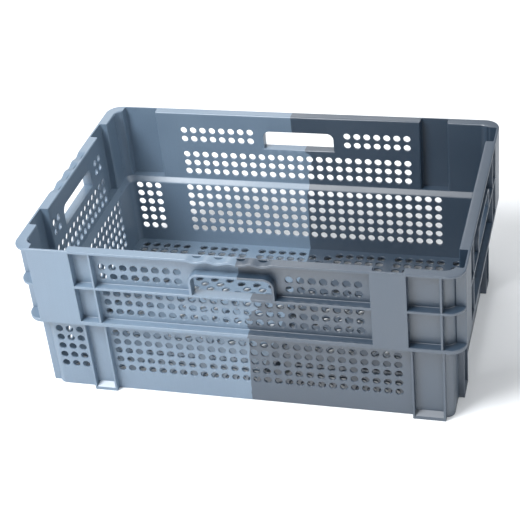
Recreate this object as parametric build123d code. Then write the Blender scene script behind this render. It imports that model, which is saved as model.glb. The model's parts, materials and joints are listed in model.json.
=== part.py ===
from build123d import *
import os
import math

os.makedirs("parts", exist_ok=True)

# ---------------------------------------------------------------------------
# Stack-and-nest perforated crate, 600 x 400 footprint, two-colour moulding.
# Units mm. X along the 600 mm length, Y along the 400 mm width, +Z up.
# Origin: centre of the footprint on the surface the crate stands on.
# The light shot is the left part, the dark shot the right part. Each colour
# is modelled as wall, flange, rim, pocket and foot regions that meet face
# to face, so that the collision shape follows the thin walls.
# ---------------------------------------------------------------------------

# driving dimensions
LENGTH = 600.0            # outside length
WIDTH = 400.0             # outside width
HEIGHT = 240.0            # outside height
WALL = 3.0                # wall thickness
RIM_R = 22.0              # outside corner radius of rim and flanges

LOW_X = 281.5             # lower body, outside half length
LOW_Y = 181.5             # lower body, outside half width
LOW_R = 12.0              # lower body, outside corner radius
UP_X = 288.0              # upper body, outside half length
UP_Y = 188.0              # upper body, outside half width
UP_R = 15.0               # upper body, outside corner radius

Z_FLOOR_TOP = 10.0        # inside floor level
FLOOR_T = 3.0             # floor plate thickness
Z_LOW_TOP = 118.0         # top of the lower wall, where the ledge starts
Z_LEDGE = 125.0           # top of the sloping ledge inside
Z_SH0 = 120.0             # lower flange, underside
Z_SH1 = 126.0             # lower flange top = pocket floor
Z_MID0 = 180.0            # middle flange, underside
Z_MID1 = 184.0            # middle flange, top
Z_RIM0 = 236.0            # rim plate, underside

SPLIT_X = 7.5             # where the light shot meets the dark shot

HOLE_D = 10.5             # wall perforation
PITCH = 15.0              # wall perforation pitch
LOW_ROWS = [37.0, 52.0, 67.0, 82.0, 97.0, 112.0]
UP_ROWS = [138.5, 153.5, 168.5]
TOP_ROWS = [195.5, 210.5]

FLOOR_HOLE_D = 12.0
RIB_T = 3.0

# nesting pockets in the long sides (X) and in the ends (|Y|)
POCKET_L = (-279.0, -275.0, -222.5, -219.0)   # outer, inner, inner, outer
POCKET_R = (181.5, 185.0, 225.0, 228.0)
POCKET_EL = (97.5, 101.0, 141.0, 144.5)       # left end
POCKET_ER = (134.5, 138.0, 178.0, 181.5)      # right end
PANEL_IN_Y = 197.0
PANEL_IN_X = 297.0

# nesting feet on the lower body
FOOT_L = (-222.5, -189.5)
FOOT_R = (228.0, 272.0)
FOOT_EL = (141.0, 175.0)
FOOT_ER = (104.0, 138.0)
FOOT_OUT = 8.5            # how far a foot stands out of the lower wall
FOOT_SHELF_FRONT = 4.5
FOOT_SHELF_BACK = 10.0

# hand holes
HAND_HALF = 54.0
HAND_TOP = 213.5
HAND_R = 10.0
HOOD_T = 3.5
GRIP_PITCH = 29.4
GRIP_AMP = 3.2
SLOT_HALF = 7.0            # crescent slots in the grip: half length and the
SLOT_IN = 1.0              # distance of both edges from the wall face
SLOT_OUT = 3.4


# ---------------------------------------------------------------------------
# helpers
# ---------------------------------------------------------------------------
def bx(x0, x1, y0, y1, z0, z1):
    return Pos((x0 + x1) / 2, (y0 + y1) / 2, (z0 + z1) / 2) * Box(
        abs(x1 - x0), abs(y1 - y0), abs(z1 - z0))


def slab(hx, hy, r, z0, z1):
    return Pos(0, 0, z0) * extrude(RectangleRounded(2 * hx, 2 * hy, r), z1 - z0)


def solids_of(shape):
    return list(shape.solids())


def save(name, *shapes):
    sol = []
    for s in shapes:
        sol += solids_of(s)
    out = sol[0] if len(sol) == 1 else Compound(children=sol)
    export_step(out, "parts/%s.step" % name)
    print("%-28s solids %d  volume %.0f" % (name, len(sol), sum(s.volume for s in sol)))


def plane_long(y_out, sign):
    """Local (u, v, w) = (X, Z, thickness) for a long side wall.
    The plate starts at the outer face |y| = y_out and grows inwards."""
    if sign < 0:
        # front: outer face at -y_out, thickness towards +Y
        return Plane(origin=(0, -y_out + WALL, 0), x_dir=(1, 0, 0), z_dir=(0, -1, 0))
    return Plane(origin=(0, y_out, 0), x_dir=(1, 0, 0), z_dir=(0, -1, 0))


def plane_end(x_out, sign):
    """Local (u, v, w) = (Y, Z, thickness) for an end wall."""
    if sign < 0:
        return Plane(origin=(-x_out, 0, 0), x_dir=(0, 1, 0), z_dir=(1, 0, 0))
    return Plane(origin=(x_out - WALL, 0, 0), x_dir=(0, 1, 0), z_dir=(1, 0, 0))


def perforated(outline, holes, dia, thick, plane):
    """Plate with round holes, from a closed outline in local (u, v)."""
    outer = Wire.make_polygon([(u, v, 0) for u, v in outline], close=True) \
        if isinstance(outline, list) else outline
    inner = [Wire.make_circle(dia / 2, Plane(origin=(u, v, 0))) for u, v in holes]
    face = Face(outer, inner)
    return plane.location * Solid.extrude(face, Vector(0, 0, thick))


def rect(u0, u1, v0, v1):
    return [(u0, v0), (u1, v0), (u1, v1), (u0, v1)]


def grid(us, vs, u0=-1e9, u1=1e9):
    return [(u, v) for u in us for v in vs if u0 < u < u1]


def hand_profile(half, z0, top, r, u_min, u_max):
    """Closed outline of a hand hole with round top corners, cut at u_min/u_max."""
    with BuildSketch(Plane.XY) as sk:
        with Locations(((-half + half) / 2, (z0 + top) / 2)):
            Rectangle(2 * half, top - z0)
        vs = [v for v in sk.vertices() if v.Y > (z0 + top) / 2]
        fillet(vs, r)
    keep = Pos((u_min + u_max) / 2, (z0 + top) / 2) * Rectangle(u_max - u_min, (top - z0) + 2)
    return sk.sketch & keep


def both_y(s):
    """The same solid and its mirror image across the XZ plane."""
    return [s, mirror(s, about=Plane.XZ)]


# whole-ring solids that the regions are cut from
OUT_ALL = slab(LENGTH / 2, WIDTH / 2, RIM_R, -1, HEIGHT + 1)
UPIN = slab(UP_X - WALL, UP_Y - WALL, UP_R - WALL, Z_LEDGE - 0.0, HEIGHT + 1)
UPOUT = slab(UP_X, UP_Y, UP_R, Z_SH1 - 1, HEIGHT + 1)
LOWOUT = slab(LOW_X, LOW_Y, LOW_R, -1, Z_SH0 + 1)

# ---------------------------------------------------------------------------
# floor
# ---------------------------------------------------------------------------
SQ_COLS = [[-261.5 + 16.9 * i for i in range(5)],
           [-164.8 + 16.9 * i for i in range(5)],
           [-68.6 + 16.5 * i for i in range(5)],
           [55.8 + 16.5 * i for i in range(5)],
           [149.0 + 16.4 * i for i in range(5)],
           [238.4, 255.0]]
SQ_ROWS = [163.9, 148.7, 133.5, 118.3, 103.1]
STAG = [(-260.0, -190.0, 79.0, 0), (-159.2, -97.0, 79.0, 1), (-78.0, -4.0, 72.0, 0),
        (21.0, 44.0, 75.0, 0), (58.0, 124.0, 72.0, 1), (150.0, 216.0, 79.0, 0),
        (238.4, 262.0, 72.0, 0)]


def floor_holes():
    pts = []
    for cols in SQ_COLS:
        for x in cols:
            for y in SQ_ROWS:
                pts += [(x, y), (x, -y)]
    for x, y in [(14.9, 156.0), (39.0, 156.0), (27.0, 141.0), (14.9, 126.0),
                 (39.0, 126.0), (27.0, 111.0)]:
        pts += [(x, y), (x, -y)]
    for x0, x1, y0, ph in STAG:
        k = 0
        y = y0
        while y > -84.0:
            x = x0 + (12.2 if (k + ph) % 2 else 0.0)
            while x <= x1:
                pts.append((x, y))
                x += 24.4
            k += 1
            y = y0 - 12.0 * k
    return pts


FX = LOW_X - WALL
FY = LOW_Y - WALL
FLOOR_HOLES = floor_holes()


def floor_outline(left):
    r = LOW_R - WALL
    s = Pos(0, 0) * RectangleRounded(2 * FX, 2 * FY, r)
    if left:
        half = Pos((-FX - 1 + SPLIT_X) / 2, 0) * Rectangle(SPLIT_X + FX + 1, 2 * FY + 2)
    else:
        half = Pos((FX + 1 + SPLIT_X) / 2, 0) * Rectangle(FX + 1 - SPLIT_X, 2 * FY + 2)
    return (s & half).face().outer_wire()


FLOOR_PLANE = Plane(origin=(0, 0, Z_FLOOR_TOP - FLOOR_T), x_dir=(1, 0, 0), z_dir=(0, 0, 1))
save("floor_light", perforated(floor_outline(True),
                               [p for p in FLOOR_HOLES if p[0] < SPLIT_X],
                               FLOOR_HOLE_D, FLOOR_T, FLOOR_PLANE))
save("floor_dark", perforated(floor_outline(False),
                              [p for p in FLOOR_HOLES if p[0] > SPLIT_X],
                              FLOOR_HOLE_D, FLOOR_T, FLOOR_PLANE))

# underside ribs, from the standing plane up to the floor plate
RIBS_X_LIGHT = [-179.3, -88.0]
RIBS_X_DARK = [47.5, 135.5, 226.5]
RIBS_Y = [-91.5, 0.0, 91.5]
ZR = Z_FLOOR_TOP - FLOOR_T


def floor_ribs(xs, xa, xb):
    """Straight ribs: full length along Y, and short cross ribs between them."""
    out = [bx(x - 1.25, x + 1.25, -FY, FY, 0, ZR) for x in xs]
    stops = [xa] + [v for x in xs for v in (x - 1.25, x + 1.25)] + [xb]
    for y in RIBS_Y:
        for i in range(0, len(stops), 2):
            out.append(bx(stops[i], stops[i + 1], y - 1.25, y + 1.25, 0, ZR))
    return out


save("floor_ribs_light", *floor_ribs(RIBS_X_LIGHT, -FX, SPLIT_X))
save("floor_ribs_dark", *floor_ribs(RIBS_X_DARK, SPLIT_X, FX))

# ---------------------------------------------------------------------------
# lower walls
# ---------------------------------------------------------------------------
XE = LOW_X - LOW_R
YE = LOW_Y - LOW_R
LONG_X = [-263.5, -248.5, -233.5] + [-180.0 + PITCH * c for c in range(27)]
for side, sgn in (("front", -1), ("back", 1)):
    pl = plane_long(LOW_Y, sgn)
    save("%s_lower_wall_light" % side,
         perforated(rect(-XE, SPLIT_X, 0, Z_LOW_TOP), grid(LONG_X, LOW_ROWS, u1=SPLIT_X),
                    HOLE_D, WALL, pl))
    save("%s_lower_wall_dark" % side,
         perforated(rect(SPLIT_X, XE, 0, Z_LOW_TOP), grid(LONG_X, LOW_ROWS, u0=SPLIT_X),
                    HOLE_D, WALL, pl))
save("left_lower_wall",
     perforated(rect(-YE, YE, 0, Z_LOW_TOP), grid([PITCH * k for k in range(-8, 9)], LOW_ROWS),
                HOLE_D, WALL, plane_end(LOW_X, -1)))
save("right_lower_wall",
     perforated(rect(-YE, YE, 0, Z_LOW_TOP), grid([PITCH * k for k in range(-6, 7)], LOW_ROWS),
                HOLE_D, WALL, plane_end(LOW_X, 1)))

LOW_RING = slab(LOW_X, LOW_Y, LOW_R, 0, Z_LOW_TOP) - slab(LOW_X - WALL, LOW_Y - WALL,
                                                         LOW_R - WALL, -1, Z_LOW_TOP + 1)
c_fl = LOW_RING & bx(-310, -XE, -210, -YE, -1, 250)
c_fr = LOW_RING & bx(XE, 310, -210, -YE, -1, 250)
save("lower_corners_light", *both_y(c_fl))
save("lower_corners_dark", *both_y(c_fr))

# ---------------------------------------------------------------------------
# shoulder: lower flange outside, sloping stacking ledge inside
# ---------------------------------------------------------------------------
inner_cut = loft([
    Pos(0, 0, Z_LOW_TOP) * RectangleRounded(2 * FX, 2 * FY, LOW_R - WALL),
    Pos(0, 0, Z_LEDGE) * RectangleRounded(2 * (UP_X - WALL), 2 * (UP_Y - WALL), UP_R - WALL),
], ruled=True)
SHOULDER = (slab(LENGTH / 2, WIDTH / 2, RIM_R, Z_SH0, Z_SH1)
            + slab(LOW_X, LOW_Y, LOW_R, Z_LOW_TOP, Z_SH0)) - inner_cut - UPIN


def prism(pts, z0, z1):
    w = Wire.make_polygon([(x, y, z0) for x, y in pts], close=True)
    return Solid.extrude(Face(w), Vector(0, 0, z1 - z0))


# 45 degree mitres through the corners: front/back pieces and end pieces
M = 310.0
D = M - (LENGTH / 2 - WIDTH / 2)
FRONT_L = prism([(-M, -D), (SPLIT_X, -D), (SPLIT_X, -100), (-M + (D - 100), -100)], 100, 245)
FRONT_R = prism([(SPLIT_X, -D), (M, -D), (M - (D - 100), -100), (SPLIT_X, -100)], 100, 245)
END_L = prism([(-M, -D), (-M + (D - 0.0), 0.0), (-M, D)], 100, 245)
END_R = prism([(M, -D), (M, D), (M - (D - 0.0), 0.0)], 100, 245)
sh_fl = SHOULDER & FRONT_L
sh_fr = SHOULDER & FRONT_R
save("front_shoulder_light", sh_fl)
save("back_shoulder_light", mirror(sh_fl, about=Plane.XZ))
save("front_shoulder_dark", sh_fr)
save("back_shoulder_dark", mirror(sh_fr, about=Plane.XZ))
save("left_shoulder", SHOULDER & END_L)
save("right_shoulder", SHOULDER & END_R)

# ---------------------------------------------------------------------------
# nesting feet on the lower body: two ribs and a sloping bottom shelf
# ---------------------------------------------------------------------------


def foot_long(x0, x1):
    """Two upright ribs and the sloping shelf between them, as three solids."""
    y_out = -(LOW_Y + FOOT_OUT)
    rib_a = bx(x0, x0 + RIB_T, y_out, -LOW_Y + 4, 0, Z_SH0) - LOWOUT
    rib_b = bx(x1 - RIB_T, x1, y_out, -LOW_Y + 4, 0, Z_SH0) - LOWOUT
    xa = x0 + RIB_T
    w = Wire.make_polygon([(xa, y_out, 0), (xa, -LOW_Y + 4, 0), (xa, -LOW_Y + 4, FOOT_SHELF_BACK),
                           (xa, -LOW_Y, FOOT_SHELF_BACK), (xa, y_out, FOOT_SHELF_FRONT)], close=True)
    shelf = Solid.extrude(Face(w), Vector(x1 - x0 - 2 * RIB_T, 0, 0)) - LOWOUT
    return [rib_a, rib_b, shelf]


def foot_end(y0, y1, sgn):
    x_out = sgn * (LOW_X + FOOT_OUT)
    x_in = sgn * (LOW_X - 4)
    xw = sgn * LOW_X
    rib_a = bx(x_out, x_in, y0, y0 + RIB_T, 0, Z_SH0) - LOWOUT
    rib_b = bx(x_out, x_in, y1 - RIB_T, y1, 0, Z_SH0) - LOWOUT
    ya = y0 + RIB_T
    w = Wire.make_polygon([(x_out, ya, 0), (x_in, ya, 0), (x_in, ya, FOOT_SHELF_BACK),
                           (xw, ya, FOOT_SHELF_BACK), (x_out, ya, FOOT_SHELF_FRONT)], close=True)
    shelf = Solid.extrude(Face(w), Vector(0, y1 - y0 - 2 * RIB_T, 0)) - LOWOUT
    return [rib_a, rib_b, shelf]


def all_both_y(parts):
    return [m for p in parts for m in both_y(p)]


save("side_feet_light", *all_both_y(foot_long(*FOOT_L)))
save("side_feet_dark", *all_both_y(foot_long(*FOOT_R)))
save("end_feet_light", *all_both_y(foot_end(-FOOT_EL[1], -FOOT_EL[0], -1)))
save("end_feet_dark", *all_both_y(foot_end(-FOOT_ER[1], -FOOT_ER[0], 1)))

# ---------------------------------------------------------------------------
# upper walls between the pockets
# ---------------------------------------------------------------------------
UP_X_HOLES = [-180.0 + PITCH * c for c in range(24)]
TOP_X_HOLES = [-180.0 + PITCH * c for c in range(8)] + [-180.0 + PITCH * c for c in range(17, 24)]
END_UP = [PITCH * k for k in range(-6, 7)]
END_TOP = [PITCH * k for k in (-6, -5, 5, 6)]

for side, sgn in (("front", -1), ("back", 1)):
    pl = plane_long(UP_Y, sgn)
    save("%s_upper_wall_light" % side,
         perforated(rect(POCKET_L[3], SPLIT_X, Z_SH1, Z_MID1), grid(UP_X_HOLES, UP_ROWS, u1=SPLIT_X),
                    HOLE_D, WALL, pl))
    save("%s_upper_wall_dark" % side,
         perforated(rect(SPLIT_X, POCKET_R[0], Z_SH1, Z_MID1), grid(UP_X_HOLES, UP_ROWS, u0=SPLIT_X),
                    HOLE_D, WALL, pl))
save("left_upper_wall",
     perforated(rect(-POCKET_EL[0], POCKET_EL[0], Z_SH1, Z_MID1), grid(END_UP, UP_ROWS),
                HOLE_D, WALL, plane_end(UP_X, -1)))
save("right_upper_wall",
     perforated(rect(-POCKET_ER[0], POCKET_ER[0], Z_SH1, Z_MID1), grid(END_UP, UP_ROWS),
                HOLE_D, WALL, plane_end(UP_X, 1)))

# ---------------------------------------------------------------------------
# handle panels: top band of the wall with the hand hole and its hood
# ---------------------------------------------------------------------------


def outline_with_notch(u0, u1, cut_low, cut_high):
    """Top band outline in (u, v) with the hand hole cut out of it.
    cut_low / cut_high say whether the hole's left / right end lies in it."""
    z0, z1, t, r, h = Z_MID1, Z_RIM0, HAND_TOP, HAND_R, HAND_HALF
    e = []

    def ln(a, b):
        e.append(Edge.make_line((a[0], a[1], 0), (b[0], b[1], 0)))

    k = r * math.sin(math.radians(45))
    if cut_low and cut_high:
        ln((u0, z0), (-h, z0))
        ln((-h, z0), (-h, t - r))
        e.append(Edge.make_three_point_arc((-h, t - r, 0), (-h + r - k, t - r + k, 0), (-h + r, t, 0)))
        ln((-h + r, t), (h - r, t))
        e.append(Edge.make_three_point_arc((h - r, t, 0), (h - r + k, t - r + k, 0), (h, t - r, 0)))
        ln((h, t - r), (h, z0))
        ln((h, z0), (u1, z0))
    elif cut_low:
        ln((u0, z0), (-h, z0))
        ln((-h, z0), (-h, t - r))
        e.append(Edge.make_three_point_arc((-h, t - r, 0), (-h + r - k, t - r + k, 0), (-h + r, t, 0)))
        ln((-h + r, t), (u1, t))
        z0 = t
    else:
        ln((u0, t), (h - r, t))
        e.append(Edge.make_three_point_arc((h - r, t, 0), (h - r + k, t - r + k, 0), (h, t - r, 0)))
        ln((h, t - r), (h, z0))
        ln((h, z0), (u1, z0))
    last_low = t if (cut_low and not cut_high) else Z_MID1
    first_low = t if (cut_high and not cut_low) else Z_MID1
    ln((u1, last_low), (u1, z1))
    ln((u1, z1), (u0, z1))
    ln((u0, z1), (u0, first_low))
    return Wire(e)


def hood(u0, u1, depth):
    """Hood flange around the hand hole, local (u, v), thickness along w."""
    outer = hand_profile(HAND_HALF + HOOD_T, Z_MID1, HAND_TOP + HOOD_T, HAND_R + HOOD_T, u0, u1)
    inner = hand_profile(HAND_HALF, Z_MID1, HAND_TOP, HAND_R, u0 - 5, u1 + 5)
    return extrude(outer - inner, depth)


DEPTH = WIDTH / 2 - UP_Y      # how far flanges stand out of the upper wall

for side, sgn in (("front", -1), ("back", 1)):
    pl = plane_long(UP_Y, sgn)
    if sgn < 0:
        hp = Plane(origin=(0, -UP_Y, 0), x_dir=(1, 0, 0), z_dir=(0, -1, 0))
    else:
        hp = Plane(origin=(0, WIDTH / 2, 0), x_dir=(1, 0, 0), z_dir=(0, -1, 0))
    wl = perforated(outline_with_notch(POCKET_L[3], SPLIT_X, True, False),
                    grid(TOP_X_HOLES, TOP_ROWS, u1=SPLIT_X), HOLE_D, WALL, pl)
    wd = perforated(outline_with_notch(SPLIT_X, POCKET_R[0], False, True),
                    grid(TOP_X_HOLES, TOP_ROWS, u0=SPLIT_X), HOLE_D, WALL, pl)
    save("%s_handle_panel_light" % side, wl + hp.location * hood(-100, SPLIT_X, DEPTH))
    save("%s_handle_panel_dark" % side, wd + hp.location * hood(SPLIT_X, 100, DEPTH))

for side, sgn, pk in (("left", -1, POCKET_EL), ("right", 1, POCKET_ER)):
    pl = plane_end(UP_X, sgn)
    if sgn < 0:
        hp = Plane(origin=(-LENGTH / 2, 0, 0), x_dir=(0, 1, 0), z_dir=(1, 0, 0))
    else:
        hp = Plane(origin=(UP_X, 0, 0), x_dir=(0, 1, 0), z_dir=(1, 0, 0))
    w = perforated(outline_with_notch(-pk[0], pk[0], True, True),
                   grid(END_TOP, TOP_ROWS), HOLE_D, WALL, pl)
    save("%s_handle_panel" % side, w + hp.location * hood(-100, 100, DEPTH))

# ---------------------------------------------------------------------------
# corner walls of the upper body
# ---------------------------------------------------------------------------
UP_RING = slab(UP_X, UP_Y, UP_R, Z_SH1, Z_RIM0) - UPIN
R_FL = bx(-310, POCKET_L[0], -210, -POCKET_EL[3], 100, 250)
R_FR = bx(POCKET_R[3], 310, -210, -POCKET_ER[3], 100, 250)
save("corner_walls_light", *both_y(UP_RING & R_FL))
save("corner_walls_dark", *both_y(UP_RING & R_FR))

# ---------------------------------------------------------------------------
# nesting pockets: outer panel flush with the rim and two side webs
# ---------------------------------------------------------------------------
POCKET_BLOCK = slab(LENGTH / 2, WIDTH / 2, RIM_R, Z_SH1, HEIGHT) - UPIN


def pocket_long(p):
    band = POCKET_BLOCK & bx(p[0], p[3], -210, -150, 100, 250)
    return band - bx(p[1], p[2], -PANEL_IN_Y, -150, 100, 250)


def pocket_end(p, sgn):
    band = POCKET_BLOCK & bx(sgn * 240, sgn * 310, -p[3], -p[0], 100, 250)
    return band - bx(sgn * 240, sgn * PANEL_IN_X, -p[2], -p[1], 100, 250)


pk_fl = pocket_long(POCKET_L)
pk_fr = pocket_long(POCKET_R)
pk_lf = pocket_end(POCKET_EL, -1)
pk_rf = pocket_end(POCKET_ER, 1)
save("front_pocket_light", pk_fl)
save("back_pocket_light", mirror(pk_fl, about=Plane.XZ))
save("front_pocket_dark", pk_fr)
save("back_pocket_dark", mirror(pk_fr, about=Plane.XZ))
save("left_end_front_pocket", pk_lf)
save("left_end_back_pocket", mirror(pk_lf, about=Plane.XZ))
save("right_end_front_pocket", pk_rf)
save("right_end_back_pocket", mirror(pk_rf, about=Plane.XZ))

# ---------------------------------------------------------------------------
# middle flange
# ---------------------------------------------------------------------------
MID_RING = slab(LENGTH / 2, WIDTH / 2, RIM_R, Z_MID0, Z_MID1) - UPOUT
mid_fl = bx(POCKET_L[3], SPLIT_X, -WIDTH / 2, -UP_Y, Z_MID0, Z_MID1)
mid_fr = bx(SPLIT_X, POCKET_R[0], -WIDTH / 2, -UP_Y, Z_MID0, Z_MID1)
save("front_mid_flange_light", mid_fl)
save("back_mid_flange_light", mirror(mid_fl, about=Plane.XZ))
save("front_mid_flange_dark", mid_fr)
save("back_mid_flange_dark", mirror(mid_fr, about=Plane.XZ))
save("left_mid_flange", bx(-LENGTH / 2, -UP_X, -POCKET_EL[0], POCKET_EL[0], Z_MID0, Z_MID1))
save("right_mid_flange", bx(UP_X, LENGTH / 2, -POCKET_ER[0], POCKET_ER[0], Z_MID0, Z_MID1))

# ---------------------------------------------------------------------------
# rim
# ---------------------------------------------------------------------------
RIM_RING = slab(LENGTH / 2, WIDTH / 2, RIM_R, Z_RIM0, HEIGHT) - UPIN
save("corner_flanges_light", *(both_y(RIM_RING & R_FL) + both_y(MID_RING & R_FL)))
save("corner_flanges_dark", *(both_y(RIM_RING & R_FR) + both_y(MID_RING & R_FR)))


def wave(u):
    lim = 2 * GRIP_PITCH
    if abs(u) >= lim:
        return 0.0
    return GRIP_AMP / 2 * (1 - math.cos(2 * math.pi * u / GRIP_PITCH))


def slope(u):
    w = math.pi * GRIP_AMP / GRIP_PITCH * math.sin(2 * math.pi * u / GRIP_PITCH)
    return (1.0, -w, 0.0)


def rim_bar(u0, u1):
    """Rim length in local (u, v = z, w = out): a full-depth bar on either side
    of the grip; in the grip a straight inner strip and an outer strip whose top
    and underside follow the finger wave."""
    lim = 2 * GRIP_PITCH
    a = max(u0, -lim)
    b = min(u1, lim)
    n = max(8, int(round((b - a) / (GRIP_PITCH / 8))))
    us = [a + (b - a) * i / n for i in range(n + 1)]
    low = Edge.make_spline([(u, Z_RIM0 - wave(u), 0) for u in us],
                           tangents=[slope(a), slope(b)])
    top = Edge.make_spline([(u, HEIGHT - wave(u), 0) for u in us],
                           tangents=[slope(a), slope(b)])
    sides = [Edge.make_line(low @ 1, top @ 1), Edge.make_line(top @ 0, low @ 0)]
    bar = Solid.extrude(Face(Wire([low, sides[0], top, sides[1]])), Vector(0, 0, DEPTH))
    bar = bar + bx(a, b, Z_RIM0, HEIGHT, -WALL, 0.0)
    if u0 < a:
        bar = bar + bx(u0, a, Z_RIM0, HEIGHT, -WALL, DEPTH)
    if u1 > b:
        bar = bar + bx(b, u1, Z_RIM0, HEIGHT, -WALL, DEPTH)
    full = (u1 - u0) * (HEIGHT - Z_RIM0) * (DEPTH + WALL)
    assert abs(bar.volume - full) < 5.0, "rim bar is incomplete"
    # narrow crescent slot behind each finger lobe
    for c in (-1.5, -0.5, 0.5, 1.5):
        c = c * GRIP_PITCH
        if u0 < c - SLOT_HALF and c + SLOT_HALF < u1:
            p0, p1, p2 = (c - SLOT_HALF, 0, SLOT_IN), (c, 0, SLOT_OUT), (c + SLOT_HALF, 0, SLOT_IN)
            lens = Face(Wire([Edge.make_three_point_arc(p0, p1, p2), Edge.make_line(p2, p0)]))
            bar = bar - Pos(0, Z_RIM0 - 8, 0) * Solid.extrude(lens, Vector(0, 16, 0))
    return bar


PF = Plane(origin=(0, -UP_Y, 0), x_dir=(1, 0, 0), z_dir=(0, -1, 0))
rim_fl = PF.location * rim_bar(POCKET_L[3], SPLIT_X)
rim_fr = PF.location * rim_bar(SPLIT_X, POCKET_R[0])
save("front_rim_light", rim_fl)
save("front_rim_dark", rim_fr)
PR = Plane(origin=(UP_X, 0, 0), x_dir=(0, 1, 0), z_dir=(1, 0, 0))
save("left_rim", mirror(PR.location * rim_bar(-POCKET_EL[0], POCKET_EL[0]), about=Plane.YZ))

# the back and the right rim are plain: no finger grip
save("back_rim_light", bx(POCKET_L[3], SPLIT_X, UP_Y - WALL, WIDTH / 2, Z_RIM0, HEIGHT))
save("back_rim_dark", bx(SPLIT_X, POCKET_R[0], UP_Y - WALL, WIDTH / 2, Z_RIM0, HEIGHT))
save("right_rim", bx(UP_X - WALL, LENGTH / 2, -POCKET_ER[0], POCKET_ER[0], Z_RIM0, HEIGHT))

# ---------------------------------------------------------------------------
# upright stiffening ribs on the upper wall, above the outer edge of each foot
# ---------------------------------------------------------------------------


def rib_long(x0, x1):
    return [(bx(x0, x1, -WIDTH / 2, -UP_Y + 6, Z_SH1, Z_MID0) - UPOUT),
            (bx(x0, x1, -WIDTH / 2, -UP_Y + 6, Z_MID1, Z_RIM0) - UPOUT)]


def rib_end(y0, y1, sgn):
    return [(bx(sgn * LENGTH / 2, sgn * (UP_X - 6), y0, y1, Z_SH1, Z_MID0) - UPOUT),
            (bx(sgn * LENGTH / 2, sgn * (UP_X - 6), y0, y1, Z_MID1, Z_RIM0) - UPOUT)]


rl = rib_long(FOOT_L[1] - RIB_T, FOOT_L[1]) + rib_end(-FOOT_EL[1], -FOOT_EL[1] + RIB_T, -1)
rd = rib_long(FOOT_R[1] - RIB_T, FOOT_R[1]) + rib_end(-FOOT_ER[0] - RIB_T, -FOOT_ER[0], 1)
save("upper_ribs_light", *[m for s in rl for m in both_y(s)])
save("upper_ribs_dark", *[m for s in rd for m in both_y(s)])
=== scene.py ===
import bpy
import bmesh
import json
import math
from mathutils import Vector, Matrix, noise


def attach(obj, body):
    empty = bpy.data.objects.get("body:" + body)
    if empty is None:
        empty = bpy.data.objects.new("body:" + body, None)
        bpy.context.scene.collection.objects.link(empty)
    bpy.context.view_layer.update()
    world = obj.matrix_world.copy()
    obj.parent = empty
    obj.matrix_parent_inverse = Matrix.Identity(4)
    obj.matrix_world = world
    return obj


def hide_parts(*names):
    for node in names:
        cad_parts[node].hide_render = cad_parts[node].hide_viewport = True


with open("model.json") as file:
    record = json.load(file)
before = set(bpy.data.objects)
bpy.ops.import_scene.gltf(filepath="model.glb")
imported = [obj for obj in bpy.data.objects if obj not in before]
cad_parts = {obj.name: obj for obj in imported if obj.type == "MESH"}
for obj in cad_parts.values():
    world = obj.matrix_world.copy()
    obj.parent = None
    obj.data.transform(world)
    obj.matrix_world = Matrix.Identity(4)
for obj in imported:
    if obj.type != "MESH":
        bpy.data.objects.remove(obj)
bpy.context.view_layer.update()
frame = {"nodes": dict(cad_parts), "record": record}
NODES = sorted(frame["nodes"])

MM = 0.001
SCENE = bpy.context.scene

# ---------------------------------------------------------------------------
# sizes in mm, the same as the CAD part
# ---------------------------------------------------------------------------
POCKET_L = (-279.0, -275.0, -222.5, -219.0)
POCKET_R = (181.5, 185.0, 225.0, 228.0)
POCKET_EL = (97.5, 101.0, 141.0, 144.5)
POCKET_ER = (134.5, 138.0, 178.0, 181.5)
FOOT_L = (-222.5, -189.5)
FOOT_R = (228.0, 272.0)
FOOT_EL = (141.0, 175.0)
FOOT_ER = (104.0, 138.0)
GRIP_PITCH = 29.4
GRIP_AMP = 3.2
HAND_HALF, HAND_Z0, HAND_TOP, HAND_R, HOOD_T = 54.0, 184.0, 213.5, 10.0, 3.5
LOW_ROWS = [37.0, 52.0, 67.0, 82.0, 97.0, 112.0]
UP_ROWS = [138.5, 153.5, 168.5]
TOP_ROWS = [195.5, 210.5]
SEG = 24


# ---------------------------------------------------------------------------
# mesh helpers (all input in mm)
# ---------------------------------------------------------------------------
def new_object(name, verts, faces, scale=MM):
    me = bpy.data.meshes.new(name)
    me.from_pydata([(x * scale, y * scale, z * scale) for x, y, z in verts], [], faces)
    me.validate()
    ob = bpy.data.objects.new(name, me)
    SCENE.collection.objects.link(ob)
    return ob


def fix_normals(ob):
    bm = bmesh.new()
    bm.from_mesh(ob.data)
    bmesh.ops.recalc_face_normals(bm, faces=bm.faces)
    bm.to_mesh(ob.data)
    bm.free()
    return ob


def rbox(x0, x1, y0, y1, z0, z1, b=0.6, seg=2, name="box"):
    """Box with rounded edges."""
    v = [(x, y, z) for x in (x0, x1) for y in (y0, y1) for z in (z0, z1)]
    f = [(0, 1, 3, 2), (4, 6, 7, 5), (0, 4, 5, 1), (2, 3, 7, 6), (0, 2, 6, 4), (1, 5, 7, 3)]
    ob = new_object(name, v, f)
    bm = bmesh.new()
    bm.from_mesh(ob.data)
    bmesh.ops.recalc_face_normals(bm, faces=bm.faces)
    if b > 0:
        bmesh.ops.bevel(bm, geom=list(bm.edges), offset=b * MM, segments=seg,
                        profile=0.5, affect='EDGES', clamp_overlap=True)
    bm.to_mesh(ob.data)
    bm.free()
    return ob


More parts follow.
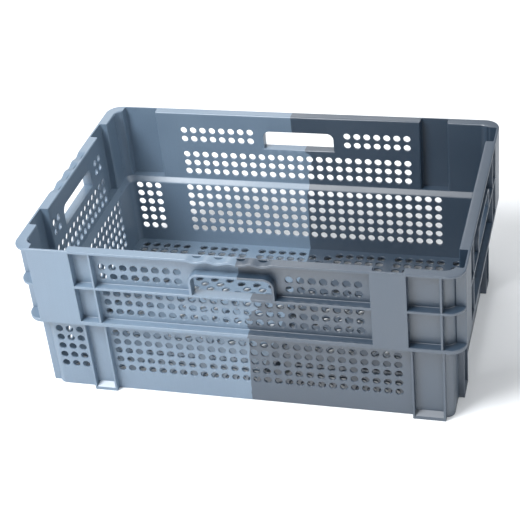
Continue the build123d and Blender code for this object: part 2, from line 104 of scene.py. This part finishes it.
def prism(poly, a, b, axis, name="prism", bevel=0.0, seg=2, flare=None):
    """Closed polygon extruded along an axis.
    axis 'z': poly in (x, y); 'y': poly in (x, z); 'x': poly in (y, z).
    flare: list of (position along the axis, outward offset) replaces a plain extrusion."""
    n = len(poly)
    levels = [(a, 0.0), (b, 0.0)] if flare is None else flare
    area = sum(poly[i][0] * poly[(i + 1) % n][1] - poly[(i + 1) % n][0] * poly[i][1] for i in range(n))
    if area < 0:
        poly = poly[::-1]

    def off(d):
        if d == 0.0:
            return poly
        out = []
        for i in range(n):
            p0, p1, p2 = poly[i - 1], poly[i], poly[(i + 1) % n]
            e1 = Vector((p1[0] - p0[0], p1[1] - p0[1])).normalized()
            e2 = Vector((p2[0] - p1[0], p2[1] - p1[1])).normalized()
            n1 = Vector((e1.y, -e1.x))
            n2 = Vector((e2.y, -e2.x))
            m = n1 + n2
            m = m / max(m.length_squared / 2, 1e-6) if m.length > 1e-6 else n1
            out.append((p1[0] + m.x * d, p1[1] + m.y * d))
        return out

    verts = []
    for t, d in levels:
        for u, v in off(d):
            verts.append({'z': (u, v, t), 'y': (u, t, v), 'x': (t, u, v)}[axis])
    faces = [tuple(range(n)), tuple(range((len(levels) - 1) * n, len(levels) * n))]
    for k in range(len(levels) - 1):
        for i in range(n):
            j = (i + 1) % n
            faces.append((k * n + i, k * n + j, (k + 1) * n + j, (k + 1) * n + i))
    ob = fix_normals(new_object(name, verts, faces))
    if bevel > 0:
        bm = bmesh.new()
        bm.from_mesh(ob.data)
        es = [e for e in bm.edges if e.calc_face_angle(0) > math.radians(40)]
        bmesh.ops.bevel(bm, geom=es, offset=bevel * MM, segments=seg, profile=0.5,
                        affect='EDGES', clamp_overlap=True)
        bm.to_mesh(ob.data)
        bm.free()
    return ob


def arc(cx, cy, r, a0, a1, n):
    return [(cx + r * math.cos(math.radians(a0 + (a1 - a0) * i / n)),
             cy + r * math.sin(math.radians(a0 + (a1 - a0) * i / n))) for i in range(n + 1)]


def ring(profile, side_x, side_y, ncorner, name):
    """Closed ring swept round a rounded rectangle.
    profile: list of (half length, corner radius, z, grip factor); half width is 100 less."""
    rows = []
    for hx, r, z, g in profile:
        hy = hx - 100.0
        row = []

        def side(us, horizontal, sgn):
            for u in us:
                zz = z - (g * wave(u) if sgn < 0 else 0.0)
                row.append((u, sgn * hy, zz) if horizontal else (sgn * hx, u, zz))

        cx, cy = hx - r, hy - r
        side([-cx] + side_x + [cx], True, -1)
        row += [(x, y, z) for x, y in arc(cx, -cy, r, -90, 0, ncorner)[1:-1]]
        side([-cy] + side_y + [cy], False, 1)
        row += [(x, y, z) for x, y in arc(cx, cy, r, 0, 90, ncorner)[1:-1]]
        side([cx] + side_x[::-1] + [-cx], True, 1)
        row += [(x, y, z) for x, y in arc(-cx, cy, r, 90, 180, ncorner)[1:-1]]
        side([cy] + side_y[::-1] + [-cy], False, -1)
        row += [(x, y, z) for x, y in arc(-cx, -cy, r, 180, 270, ncorner)[1:-1]]
        rows.append(row)
    m, p = len(rows[0]), len(rows)
    verts = [v for row in rows for v in row]
    faces = []
    for i in range(p):
        i2 = (i + 1) % p
        for j in range(m):
            j2 = (j + 1) % m
            faces.append((i * m + j, i * m + j2, i2 * m + j2, i2 * m + j))
    return fix_normals(new_object(name, verts, faces))


def wave(u):
    if abs(u) >= 2 * GRIP_PITCH:
        return 0.0
    return GRIP_AMP / 2 * (1 - math.cos(2 * math.pi * u / GRIP_PITCH))


def spools(holes, levels, axis, seg, name):
    """Joined round cutters. holes: (u, v, r); levels: (position along the axis, extra radius)."""
    verts, faces = [], []
    cs = [(math.cos(2 * math.pi * i / seg), math.sin(2 * math.pi * i / seg)) for i in range(seg)]
    L = len(levels)
    for u, v, r in holes:
        base = len(verts)
        for t, d in levels:
            for c, s in cs:
                a, b = u + (r + d) * c, v + (r + d) * s
                verts.append({'z': (a, b, t), 'y': (a, t, b), 'x': (t, a, b)}[axis])
        faces.append(tuple(base + i for i in range(seg)))
        faces.append(tuple(base + (L - 1) * seg + i for i in range(seg)))
        for k in range(L - 1):
            for i in range(seg):
                j = (i + 1) % seg
                faces.append((base + k * seg + i, base + k * seg + j,
                              base + (k + 1) * seg + j, base + (k + 1) * seg + i))
    return fix_normals(new_object(name, verts, faces))


def boolean(ob, others, op):
    """Applies a boolean with all the other objects and removes them."""
    coll = bpy.data.collections.new("operands")
    SCENE.collection.children.link(coll)
    for o in others:
        for c in list(o.users_collection):
            c.objects.unlink(o)
        coll.objects.link(o)
    m = ob.modifiers.new("b", 'BOOLEAN')
    m.operation = op
    m.solver = 'MANIFOLD'
    m.operand_type = 'COLLECTION'
    m.collection = coll
    dg = bpy.context.evaluated_depsgraph_get()
    me = bpy.data.meshes.new_from_object(ob.evaluated_get(dg))
    ob.modifiers.clear()
    old = ob.data
    ob.data = me
    bpy.data.meshes.remove(old)
    for o in others:
        d = o.data
        bpy.data.objects.remove(o)
        bpy.data.meshes.remove(d)
    bpy.data.collections.remove(coll)
    return ob


# ---------------------------------------------------------------------------
# 1. the wall, ledge, flanges and rim as one swept section
# ---------------------------------------------------------------------------
def section():
    s = [(281.0, 11.5, 0.0, 0), (281.5, 12.0, 0.5, 0),
         (281.5, 12.0, 119.0, 0), (281.8, 12.3, 119.7, 0), (282.5, 13.0, 120.0, 0),
         (299.0, 21.0, 120.0, 0), (299.7, 21.7, 120.3, 0), (300.0, 22.0, 121.0, 0),
         (300.0, 22.0, 125.0, 0), (299.7, 21.7, 125.7, 0), (299.0, 21.0, 126.0, 0),
         (289.0, 16.0, 126.0, 0), (288.3, 15.3, 126.3, 0), (288.0, 15.0, 127.0, 0),
         (288.0, 15.0, 179.0, 0), (288.3, 15.3, 179.7, 0), (289.0, 16.0, 180.0, 0),
         (299.0, 21.0, 180.0, 0), (299.7, 21.7, 180.3, 0), (300.0, 22.0, 181.0, 0),
         (300.0, 22.0, 183.0, 0), (299.7, 21.7, 183.7, 0), (299.0, 21.0, 184.0, 0),
         (289.0, 16.0, 184.0, 0), (288.3, 15.3, 184.3, 0), (288.0, 15.0, 185.0, 0),
         (288.0, 15.0, 229.5, 0), (288.0, 15.0, 234.8, 0), (288.35, 15.35, 235.65, 1), (289.2, 16.2, 236.0, 1),
         (299.0, 21.0, 236.0, 1), (299.7, 21.7, 236.3, 1), (300.0, 22.0, 237.0, 1),
         (300.0, 22.0, 238.9, 1), (299.68, 21.68, 239.68, 1), (298.9, 20.9, 240.0, 1),
         (293.5, 18.5, 240.0, 1), (290.5, 17.0, 240.0, 0.75), (288.6, 15.6, 240.0, 0.12), (287.5, 14.5, 240.0, 0)]
    for i in range(1, 6):
        a = math.radians(90 + 90 * i / 5)
        hx = 287.5 + 2.5 * math.cos(a)
        s.append((hx, hx - 273.0, 237.5 + 2.5 * math.sin(a), 0))
    s += [(285.0, 12.0, 184.6, 0), (284.75, 11.75, 184.2, 0), (284.75, 11.75, 126.6, 0),
          (284.5, 11.5, 125.7, 0), (283.9, 11.2, 125.0, 0), (280.2, 10.1, 120.1, 0), (279.2, 9.6, 118.9, 0),
          (278.7, 9.2, 117.8, 0), (278.5, 9.0, 116.6, 0),
          (278.5, 9.0, 0.5, 0), (279.0, 9.5, 0.0, 0)]
    return s


fine = [GRIP_PITCH / 12 * i for i in range(-24, 25)]
BODY = ring(section(), fine, fine, 12, "body")

# ---------------------------------------------------------------------------
# 2. everything that is added to it
# ---------------------------------------------------------------------------
add = []

# pocket blocks, hollowed later
for p in (POCKET_L, POCKET_R):
    for s in (-1, 1):
        y0, y1 = sorted((s * 200.0, s * 186.2))
        add.append(rbox(p[0], p[3], y0, y1, 121.0, 240.0, 0.9, 3, "pocket"))
for p, sx in ((POCKET_EL, -1), (POCKET_ER, 1)):
    for s in (-1, 1):
        y0, y1 = sorted((s * p[0], s * p[3]))
        x0, x1 = sorted((sx * 300.0, sx * 286.2))
        add.append(rbox(x0, x1, y0, y1, 121.0, 240.0, 0.9, 3, "pocket"))

# upright ribs on the upper wall
for a, b in ((FOOT_L[1] - 3, FOOT_L[1]), (FOOT_R[1] - 3, FOOT_R[1])):
    for s in (-1, 1):
        y0, y1 = sorted((s * 199.6, s * 186.8))
        add.append(rbox(a, b, y0, y1, 121.5, 238.0, 0.7, 2, "rib"))
for (a, b), sx in (((FOOT_EL[1] - 3, FOOT_EL[1]), -1), ((FOOT_ER[0], FOOT_ER[0] + 3), 1)):
    for s in (-1, 1):
        y0, y1 = sorted((s * a, s * b))
        x0, x1 = sorted((sx * 299.6, sx * 284.0 if abs(b) > 170 else sx * 286.8))
        add.append(rbox(x0, x1, y0, y1, 121.5, 238.0, 0.7, 2, "rib"))

# feet: two ribs and a sloping shelf each
for x0, x1 in (FOOT_L, FOOT_R):
    for s in (-1, 1):
        for a in (x0, x1 - 3):
            ya, yb = sorted((s * 190.0, s * 180.2))
            add.append(rbox(a, a + 3, ya, yb, 0.0, 121.0, 0.7, 2, "foot_rib"))
        add.append(prism([(s * 189.7, 0.0), (s * 180.2, 0.0), (s * 180.2, 10.6), (s * 181.5, 10.0),
                          (s * 189.2, 4.9), (s * 189.7, 4.3)], x0 + 1, x1 - 1, 'x', "foot_shelf"))
for (y0, y1), sx in ((FOOT_EL, -1), (FOOT_ER, 1)):
    for s in (-1, 1):
        lo, hi = sorted((s * y0, s * y1))
        for a in (lo, hi - 3):
            xa, xb = sorted((sx * 290.0, sx * (278.9 if y1 > 170 else 280.2)))
            add.append(rbox(xa, xb, a, a + 3, 0.0, 121.0, 0.7, 2, "foot_rib"))
        add.append(prism([(sx * 289.7, 0.0), (sx * 280.2, 0.0), (sx * 280.2, 10.6), (sx * 281.5, 10.0),
                          (sx * 289.2, 4.9), (sx * 289.7, 4.3)], lo + 1, hi - 1, 'y', "foot_shelf"))

# hoods round the hand holes
ro = HAND_R + HOOD_T
ho, zo = HAND_HALF + HOOD_T, HAND_TOP + HOOD_T
hood_poly = ([(-ho, 181.0), (ho, 181.0)] + arc(ho - ro, zo - ro, ro, 0, 90, 10)
             + arc(-ho + ro, zo - ro, ro, 90, 180, 10))
for s in (-1, 1):
    a, b = sorted((s * 199.9, s * 186.5))
    add.append(prism(hood_poly, a, b, 'y', "hood", bevel=0.8))
    a, b = sorted((s * 299.9, s * 286.5))
    add.append(prism(hood_poly, a, b, 'x', "hood", bevel=0.8))

# floor plate and the ribs under it
fl = ([(270.5, -179.5)] + arc(270.5, -170.5, 9.0, -90, 0, 8)[1:] + arc(270.5, 170.5, 9.0, 0, 90, 8)
      + arc(-270.5, 170.5, 9.0, 90, 180, 8) + arc(-270.5, -170.5, 9.0, 180, 270, 8))
fl = [(x + math.copysign(0.0, x), y) for x, y in fl]
add.append(prism(fl, 7.0, 10.0, 'z', "floor"))
for x in (-179.3, -88.0, 47.5, 135.5, 226.5):
    add.append(rbox(x - 1.25, x + 1.25, -179.4, 179.4, 0.0, 8.0, 0.4, 1, "floor_rib"))
for y in (-91.5, 0.0, 91.5):
    add.append(rbox(-279.4, 279.4, y - 1.25, y + 1.25, 0.0, 8.0, 0.4, 1, "floor_rib"))
boolean(BODY, add, 'UNION')

# ---------------------------------------------------------------------------
# 3. everything that is cut out of it
# ---------------------------------------------------------------------------
cut = []


def pocket_cut(u0, u1, depth, mouth, sgn, axis, z0):
    """Pocket opening in plan: round inner corners and a rounded mouth. u runs along the wall."""
    r, f = 2.0, 2.6
    pts = (arc(u0 + r, depth + r, r, 180, 270, 4) + arc(u1 - r, depth + r, r, 270, 360, 4)
           + [(u1 + f - f * math.cos(math.radians(t)), mouth - f + f * math.sin(math.radians(t)) - 0.0)
              for t in (0, 22.5, 45, 67.5, 90)]
           + [(u1 + f, mouth + 6), (u0 - f, mouth + 6)]
           + [(u0 - f + f * math.cos(math.radians(t)), mouth - f + f * math.sin(math.radians(t)))
              for t in (90, 67.5, 45, 22.5, 0)])
    # local v grows from the outside of the wall to the inside
    if axis == 'long':
        poly = [(u, -sgn * v) for u, v in pts]
    else:
        poly = [(-sgn * v, u) for u, v in pts]
    return prism(poly, z0, 246.0, 'z', "pocket_cut")


for p in (POCKET_L, POCKET_R):
    for s in (-1, 1):
        cut.append(pocket_cut(p[1], p[2], -197.0, -184.9, s, 'long', 126.0))
for p, sx in ((POCKET_EL, -1), (POCKET_ER, 1)):
    for s in (-1, 1):
        u0, u1 = sorted((s * p[1], s * p[2]))
        cut.append(pocket_cut(u0, u1, -297.0, -284.9, sx, 'end', 126.0))

hand_poly = ([(-HAND_HALF, HAND_Z0 + 0.05), (HAND_HALF, HAND_Z0 + 0.05)]
             + arc(HAND_HALF - HAND_R, HAND_TOP - HAND_R, HAND_R, 0, 90, 10)
             + arc(-HAND_HALF + HAND_R, HAND_TOP - HAND_R, HAND_R, 90, 180, 10))
for s in (-1, 1):
    for axis, o in (('y', 100.0), ('x', 0.0)):
        lv = [(300.8 - o, 1.6), (300.0 - o, 0.8), (299.7 - o, 0.3), (299.1 - o, 0.0),
              (285.9 - o, 0.0), (285.3 - o, 0.3), (285.0 - o, 0.8), (284.0 - o, 1.8)]
        cut.append(prism(hand_poly, 0, 0, axis, "hand_cut", flare=[(s * t, d) for t, d in lv]))

# crescent slots behind the finger lobes of the front and the left rim
for c in (-1.5, -0.5, 0.5, 1.5):
    c *= GRIP_PITCH
    rc = (7.0 ** 2 + 2.4 ** 2) / (2 * 2.4)
    half = math.degrees(math.asin(7.0 / rc))
    cres = [(u, v - rc + 2.4 + 189.0) for u, v in arc(c, 0.0, rc, 90 + half, 90 - half, 10)]
    cut.append(prism([(u, -v) for u, v in cres], 228.0, 243.0, 'z', "crescent"))
    cut.append(prism([(-(v + 100.0), u) for u, v in cres], 228.0, 243.0, 'z', "crescent"))


def levels(outer, inner, s):
    """Cutter levels through a wall from its outer to its inner face: small rounded edges."""
    c = 0.45
    return [(s * (outer + c), 2 * c), (s * outer, c), (s * (outer - c), 0.0),
            (s * (inner + c), 0.0), (s * inner, c), (s * (inner - c), 2 * c)]


R = 5.25
LOW_X = [-263.5, -248.5, -233.5] + [-180.0 + 15 * c for c in range(27)]
UP_X = [-180.0 + 15 * c for c in range(24)]
TOP_X = [-180.0 + 15 * c for c in range(8)] + [-180.0 + 15 * c for c in range(17, 24)]
END_UP = [15.0 * k for k in range(-6, 7)]
END_TOP = [15.0 * k for k in (-6, -5, 5, 6)]
for s in (-1, 1):
    cut.append(spools([(x, z, R) for x in LOW_X for z in LOW_ROWS], levels(181.5, 178.5, s), 'y', SEG, "holes"))
    cut.append(spools([(x, z, R) for x in UP_X for z in UP_ROWS]
                      + [(x, z, R) for x in TOP_X for z in TOP_ROWS],
                      levels(188.0, 184.8, s), 'y', SEG, "holes"))
    ends = [15.0 * k for k in (range(-8, 9) if s < 0 else range(-6, 7))]
    cut.append(spools([(y, z, R) for y in ends for z in LOW_ROWS], levels(281.5, 278.5, s), 'x', SEG, "holes"))
    cut.append(spools([(y, z, R) for y in END_UP for z in UP_ROWS]
                      + [(y, z, R) for y in END_TOP for z in TOP_ROWS],
                      levels(288.0, 284.8, s), 'x', SEG, "holes"))

SQ_COLS = [[-261.5 + 16.9 * i for i in range(5)], [-164.8 + 16.9 * i for i in range(5)],
           [-68.6 + 16.5 * i for i in range(5)], [55.8 + 16.5 * i for i in range(5)],
           [149.0 + 16.4 * i for i in range(5)], [238.4, 255.0]]
SQ_ROWS = [163.9, 148.7, 133.5, 118.3, 103.1]
STAG = [(-260.0, -190.0, 79.0, 0), (-159.2, -97.0, 79.0, 1), (-78.0, -4.0, 72.0, 0),
        (21.0, 44.0, 75.0, 0), (58.0, 124.0, 72.0, 1), (150.0, 216.0, 79.0, 0), (238.4, 262.0, 72.0, 0)]
fh = [(x, s * y, 6.0) for cols in SQ_COLS for x in cols for y in SQ_ROWS for s in (1, -1)]
fh += [(x, s * y, 6.0) for x, y in ((14.9, 156.0), (39.0, 156.0), (27.0, 141.0), (14.9, 126.0),
                                    (39.0, 126.0), (27.0, 111.0)) for s in (1, -1)]
for x0, x1, y0, ph in STAG:
    k, y = 0, y0
    while y > -84.0:
        x = x0 + (12.2 if (k + ph) % 2 else 0.0)
        while x <= x1:
            fh.append((x, y, 6.0))
            x += 24.4
        k += 1
        y = y0 - 12.0 * k
cut.append(spools(fh, [(10.5, 1.0), (10.0, 0.5), (9.5, 0.0), (6.7, 0.0)], 'z', SEG, "floor_holes"))
boolean(BODY, cut, 'DIFFERENCE')

# ---------------------------------------------------------------------------
# 4. the meeting line of the two shots
# ---------------------------------------------------------------------------
FRONT_LINE = [(-5, 3.6), (1, 3.9), (35, 5.9), (69, 8.0), (95, 9.9), (118, 11.6), (121, 14.5), (126, 15.5),
              (130, 12.2), (135, 12.4), (144, 16.6), (151, 16.2), (156, 21.0), (161, 30.0), (170, 29.0),
              (180, 26.5), (184, 24.5), (187, 12.0), (200, 9.5), (217, 9.2), (230, 9.8), (245, 10.5)]
BACK_LINE = [(-5, 6.5), (4, 6.6), (27, 6.7), (55, 8.0), (82, 7.7), (108, 8.8), (118, 11.5), (126, 12.2),
             (144, 12.4), (161, 17.2), (175, 18.2), (182, 9.9), (192, 0.8), (203, -5.0), (214, -8.6),
             (230, -9.0), (245, -9.5)]


def lerp_table(t, z):
    if z <= t[0][0]:
        return t[0][1]
    for (a, va), (b, vb) in zip(t, t[1:]):
        if z <= b:
            f = (z - a) / (b - a)
            f = f * f * (3 - 2 * f)
            return va + (vb - va) * f
    return t[-1][1]


def boundary(y, z):
    f = min(1.0, max(0.0, (y + 170.0) / 340.0))
    b = (1 - f) * lerp_table(FRONT_LINE, z) + f * lerp_table(BACK_LINE, z)
    if z < 12:
        b += 2.5 * math.sin(math.pi * f) + 2.2 * noise.noise(Vector((y * 0.03, 3.1, 0.0)))
    b += 0.55 * noise.noise(Vector((y * 0.11, z * 0.13, 7.7))) + 0.9 * noise.noise(Vector((y * 0.02, z * 0.035, 2.2)))
    return b


def shot_block():
    ys = sorted(set([-204 + 2.0 * i for i in range(0, 20)] + [-164 + 4.0 * i for i in range(0, 83)]
                    + [166 + 2.0 * i for i in range(0, 20)]))
    zs = [-4 + 2.0 * i for i in range(0, 125)]
    ny, nz = len(ys), len(zs)
    verts = [(boundary(y, z), y, z) for y in ys for z in zs] + [(-320.0, y, z) for y in ys for z in zs]
    n = ny * nz
    faces = []
    for i in range(ny - 1):
        for j in range(nz - 1):
            a, b, c, d = i * nz + j, (i + 1) * nz + j, (i + 1) * nz + j + 1, i * nz + j + 1
            faces.append((a, b, c, d))
            faces.append((n + d, n + c, n + b, n + a))
    for i in range(ny - 1):
        for j in (0, nz - 1):
            a, b = i * nz + j, (i + 1) * nz + j
            faces.append((a, n + a, n + b, b) if j == 0 else (b, n + b, n + a, a))
    for j in range(nz - 1):
        for i in (0, ny - 1):
            a, b = i * nz + j, i * nz + j + 1
            faces.append((b, n + b, n + a, a) if i == 0 else (a, n + a, n + b, b))
    return fix_normals(new_object("shot_block", verts, faces))


LIGHT = BODY
LIGHT.name = "crate_light_shot"
DARK = LIGHT.copy()
DARK.data = LIGHT.data.copy()
DARK.name = "crate_dark_shot"
SCENE.collection.objects.link(DARK)
boolean(LIGHT, [shot_block()], 'INTERSECT')
boolean(DARK, [shot_block()], 'DIFFERENCE')


def tidy(ob):
    """Merges leftover vertices, keeps hard edges hard and rounded ones smooth."""
    bm = bmesh.new()
    bm.from_mesh(ob.data)
    bmesh.ops.remove_doubles(bm, verts=bm.verts, dist=2e-6)
    bmesh.ops.dissolve_degenerate(bm, dist=1e-6, edges=bm.edges)
    loose = [v for v in bm.verts if not v.link_faces]
    bmesh.ops.delete(bm, geom=loose, context='VERTS')
    bm.to_mesh(ob.data)
    bm.free()
    me = ob.data
    me.polygons.foreach_set("use_smooth", [True] * len(me.polygons))
    me.set_sharp_from_angle(angle=math.radians(50))
    w = ob.modifiers.new("normals", 'WEIGHTED_NORMAL')
    w.mode = 'FACE_AREA'
    w.weight = 90
    w.keep_sharp = True
    return ob


for ob in (LIGHT, DARK):
    tidy(ob)
    print("piece", ob.name, "verts", len(ob.data.vertices), "faces", len(ob.data.polygons))


# ---------------------------------------------------------------------------
# 5. materials: matte moulded polypropylene
# ---------------------------------------------------------------------------
def plastic(name, base_lo, base_hi, rough, ior):
    m = bpy.data.materials.new(name)
    m.use_nodes = True
    nt = m.node_tree
    N, L = nt.nodes, nt.links
    N.clear()
    out = N.new("ShaderNodeOutputMaterial")
    b = N.new("ShaderNodeBsdfPrincipled")
    L.new(b.outputs[0], out.inputs[0])
    tc = N.new("ShaderNodeTexCoord")
    # slow colour drift of the melt
    n1 = N.new("ShaderNodeTexNoise")
    n1.inputs["Scale"].default_value = 9.0
    n1.inputs["Detail"].default_value = 3.0
    L.new(tc.outputs["Object"], n1.inputs["Vector"])
    # fine grain of the mould surface
    n2 = N.new("ShaderNodeTexNoise")
    n2.inputs["Scale"].default_value = 800.0
    n2.inputs["Detail"].default_value = 2.0
    L.new(tc.outputs["Object"], n2.inputs["Vector"])
    # drawn streaks along the mould opening direction
    mp = N.new("ShaderNodeMapping")
    mp.inputs["Scale"].default_value = (330.0, 330.0, 9.0)
    L.new(tc.outputs["Object"], mp.inputs["Vector"])
    n3 = N.new("ShaderNodeTexNoise")
    n3.inputs["Scale"].default_value = 1.0
    n3.inputs["Detail"].default_value = 2.0
    L.new(mp.outputs[0], n3.inputs["Vector"])

    ramp = N.new("ShaderNodeValToRGB")
    ramp.color_ramp.elements[0].position = 0.3
    ramp.color_ramp.elements[0].color = (*base_lo, 1)
    ramp.color_ramp.elements[1].position = 0.7
    ramp.color_ramp.elements[1].color = (*base_hi, 1)
    L.new(n1.outputs["Fac"], ramp.inputs["Fac"])
    mix = N.new("ShaderNodeMix")
    mix.data_type = 'RGBA'
    mix.blend_type = 'MULTIPLY'
    mix.inputs["Factor"].default_value = 1.0
    gr = N.new("ShaderNodeMapRange")
    gr.inputs["From Min"].default_value = 0.3
    gr.inputs["From Max"].default_value = 0.7
    gr.inputs["To Min"].default_value = 0.98
    gr.inputs["To Max"].default_value = 1.02
    L.new(n3.outputs["Fac"], gr.inputs["Value"])
    g2 = N.new("ShaderNodeMapRange")
    g2.inputs["From Min"].default_value = 0.3
    g2.inputs["From Max"].default_value = 0.7
    g2.inputs["To Min"].default_value = 0.95
    g2.inputs["To Max"].default_value = 1.05
    L.new(n2.outputs["Fac"], g2.inputs["Value"])
    mul = N.new("ShaderNodeMath")
    mul.operation = 'MULTIPLY'
    L.new(gr.outputs[0], mul.inputs[0])
    L.new(g2.outputs[0], mul.inputs[1])
    cmb = N.new("ShaderNodeCombineColor")
    for i in range(3):
        L.new(mul.outputs[0], cmb.inputs[i])
    L.new(ramp.outputs["Color"], mix.inputs["A"])
    L.new(cmb.outputs[0], mix.inputs["B"])
    L.new(mix.outputs["Result"], b.inputs["Base Color"])

    rr = N.new("ShaderNodeMapRange")
    rr.inputs["From Min"].default_value = 0.3
    rr.inputs["From Max"].default_value = 0.7
    rr.inputs["To Min"].default_value = rough - 0.06
    rr.inputs["To Max"].default_value = rough + 0.06
    L.new(n1.outputs["Fac"], rr.inputs["Value"])
    L.new(rr.outputs[0], b.inputs["Roughness"])
    b.inputs["IOR"].default_value = ior

    bmp = N.new("ShaderNodeBump")
    bmp.inputs["Strength"].default_value = 0.25
    bmp.inputs["Distance"].default_value = 0.0002
    L.new(n2.outputs["Fac"], bmp.inputs["Height"])
    bm2 = N.new("ShaderNodeBump")
    bm2.inputs["Strength"].default_value = 0.06
    bm2.inputs["Distance"].default_value = 0.0003
    L.new(n3.outputs["Fac"], bm2.inputs["Height"])
    L.new(bmp.outputs[0], bm2.inputs["Normal"])
    L.new(bm2.outputs[0], b.inputs["Normal"])
    return m


M_LIGHT = plastic("pp_light", (0.120, 0.180, 0.254), (0.136, 0.202, 0.280), 0.46, 1.9)
M_DARK = plastic("pp_dark", (0.013, 0.033, 0.061), (0.019, 0.042, 0.074), 0.46, 2.0)
for ob, m in ((LIGHT, M_LIGHT), (DARK, M_DARK)):
    ob.data.materials.clear()
    ob.data.materials.append(m)
    for p in ob.data.polygons:
        p.material_index = 0

slots = {s["node"]: s["material_slot"] for s in frame["record"]["subparts"]}
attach(LIGHT, "root")
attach(DARK, "root")
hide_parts(*[n for n in NODES if slots[n] == "light_shot"])
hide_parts(*[n for n in NODES if slots[n] == "dark_shot"])

# ---------------------------------------------------------------------------
# 6. stage, light, camera
# ---------------------------------------------------------------------------
me = bpy.data.meshes.new("stage_floor")
me.from_pydata([(-6, -6, 0), (6, -6, 0), (6, 6, 0), (-6, 6, 0)], [], [(0, 1, 2, 3)])
FLOOR = bpy.data.objects.new("stage_floor", me)
SCENE.collection.objects.link(FLOOR)
fm = bpy.data.materials.new("stage_floor")
fm.use_nodes = True
fb = fm.node_tree.nodes["Principled BSDF"]
fb.inputs["Base Color"].default_value = (0.86, 0.885, 0.91, 1)
fb.inputs["Roughness"].default_value = 0.9
fb.inputs["Specular IOR Level"].default_value = 0.1
me.materials.append(fm)

w = bpy.data.worlds.new("studio")
SCENE.world = w
w.use_nodes = True
w.node_tree.nodes["Background"].inputs["Color"].default_value = (1.0, 1.0, 1.0, 1)
w.node_tree.nodes["Background"].inputs["Strength"].default_value = 0.33


def area(name, loc, target, size, power, color=(1, 1, 1)):
    l = bpy.data.lights.new(name, 'AREA')
    l.energy = power
    l.size = size
    l.color = color
    o = bpy.data.objects.new(name, l)
    o.location = loc
    d = Vector(target) - Vector(loc)
    o.rotation_euler = d.to_track_quat('-Z', 'Y').to_euler()
    SCENE.collection.objects.link(o)
    return o


area("key", (-1.2, -1.35, 2.3), (0, 0, 0.1), 1.2, 112)
area("top", (0.2, 0.2, 2.4), (0, 0, 0.1), 2.0, 10)
area("fill", (1.7, -0.4, 1.7), (0, 0, 0.1), 1.0, 16)
area("back", (-0.7, 1.9, 1.5), (-0.1, 0.3, 0.1), 1.3, 14)


def spot(name, loc, target, angle, blend, radius, power):
    l = bpy.data.lights.new(name, 'SPOT')
    l.energy = power
    l.spot_size = math.radians(angle)
    l.spot_blend = blend
    l.shadow_soft_size = radius
    o = bpy.data.objects.new(name, l)
    o.location = loc
    o.rotation_euler = (Vector(target) - Vector(loc)).to_track_quat('-Z', 'Y').to_euler()
    SCENE.collection.objects.link(o)
    return o


# brightens the floor in front of the crate only, which then lights the outside
spot("floor_left", (-0.45, -1.0, 2.3), (-0.45, -0.95, 0.0), 38, 0.5, 0.1, 70)
spot("floor_right", (0.35, -1.0, 2.3), (0.35, -0.95, 0.0), 38, 0.5, 0.1, 95)
spot("floor_back", (0.0, 2.6, 2.6), (0.0, 2.4, 0.0), 70, 0.6, 0.2, 260)

# camera solved from the hole grids: position and axes in the crate's frame
AZ, EL, ROLL, DIST = 0.3135, 0.5877, -0.1121, 1.9915176
T = Vector((-0.0210174, 0.0, 0.107132))
back = Vector((math.sin(AZ) * math.cos(EL), -math.cos(AZ) * math.cos(EL), math.sin(EL)))
fwd = -back
right = fwd.cross(Vector((0, 0, 1))).normalized()
up = right.cross(fwd)
r2 = math.cos(ROLL) * right + math.sin(ROLL) * up
u2 = -math.sin(ROLL) * right + math.cos(ROLL) * up
cam = bpy.data.cameras.new("camera")
cam.sensor_width = 36.0
cam.lens = 1384.0443 * 36.0 / 520.0
cam.clip_start = 0.05
cam.clip_end = 50.0
CAM = bpy.data.objects.new("camera", cam)
SCENE.collection.objects.link(CAM)
pos = T + back * DIST
CAM.matrix_world = Matrix(((r2.x, u2.x, back.x, pos.x), (r2.y, u2.y, back.y, pos.y),
                           (r2.z, u2.z, back.z, pos.z), (0, 0, 0, 1)))
SCENE.camera = CAM

SCENE.view_settings.view_transform = 'Standard'
SCENE.view_settings.look = 'None'
SCENE.view_settings.exposure = 0.0
SCENE.view_settings.gamma = 1.0
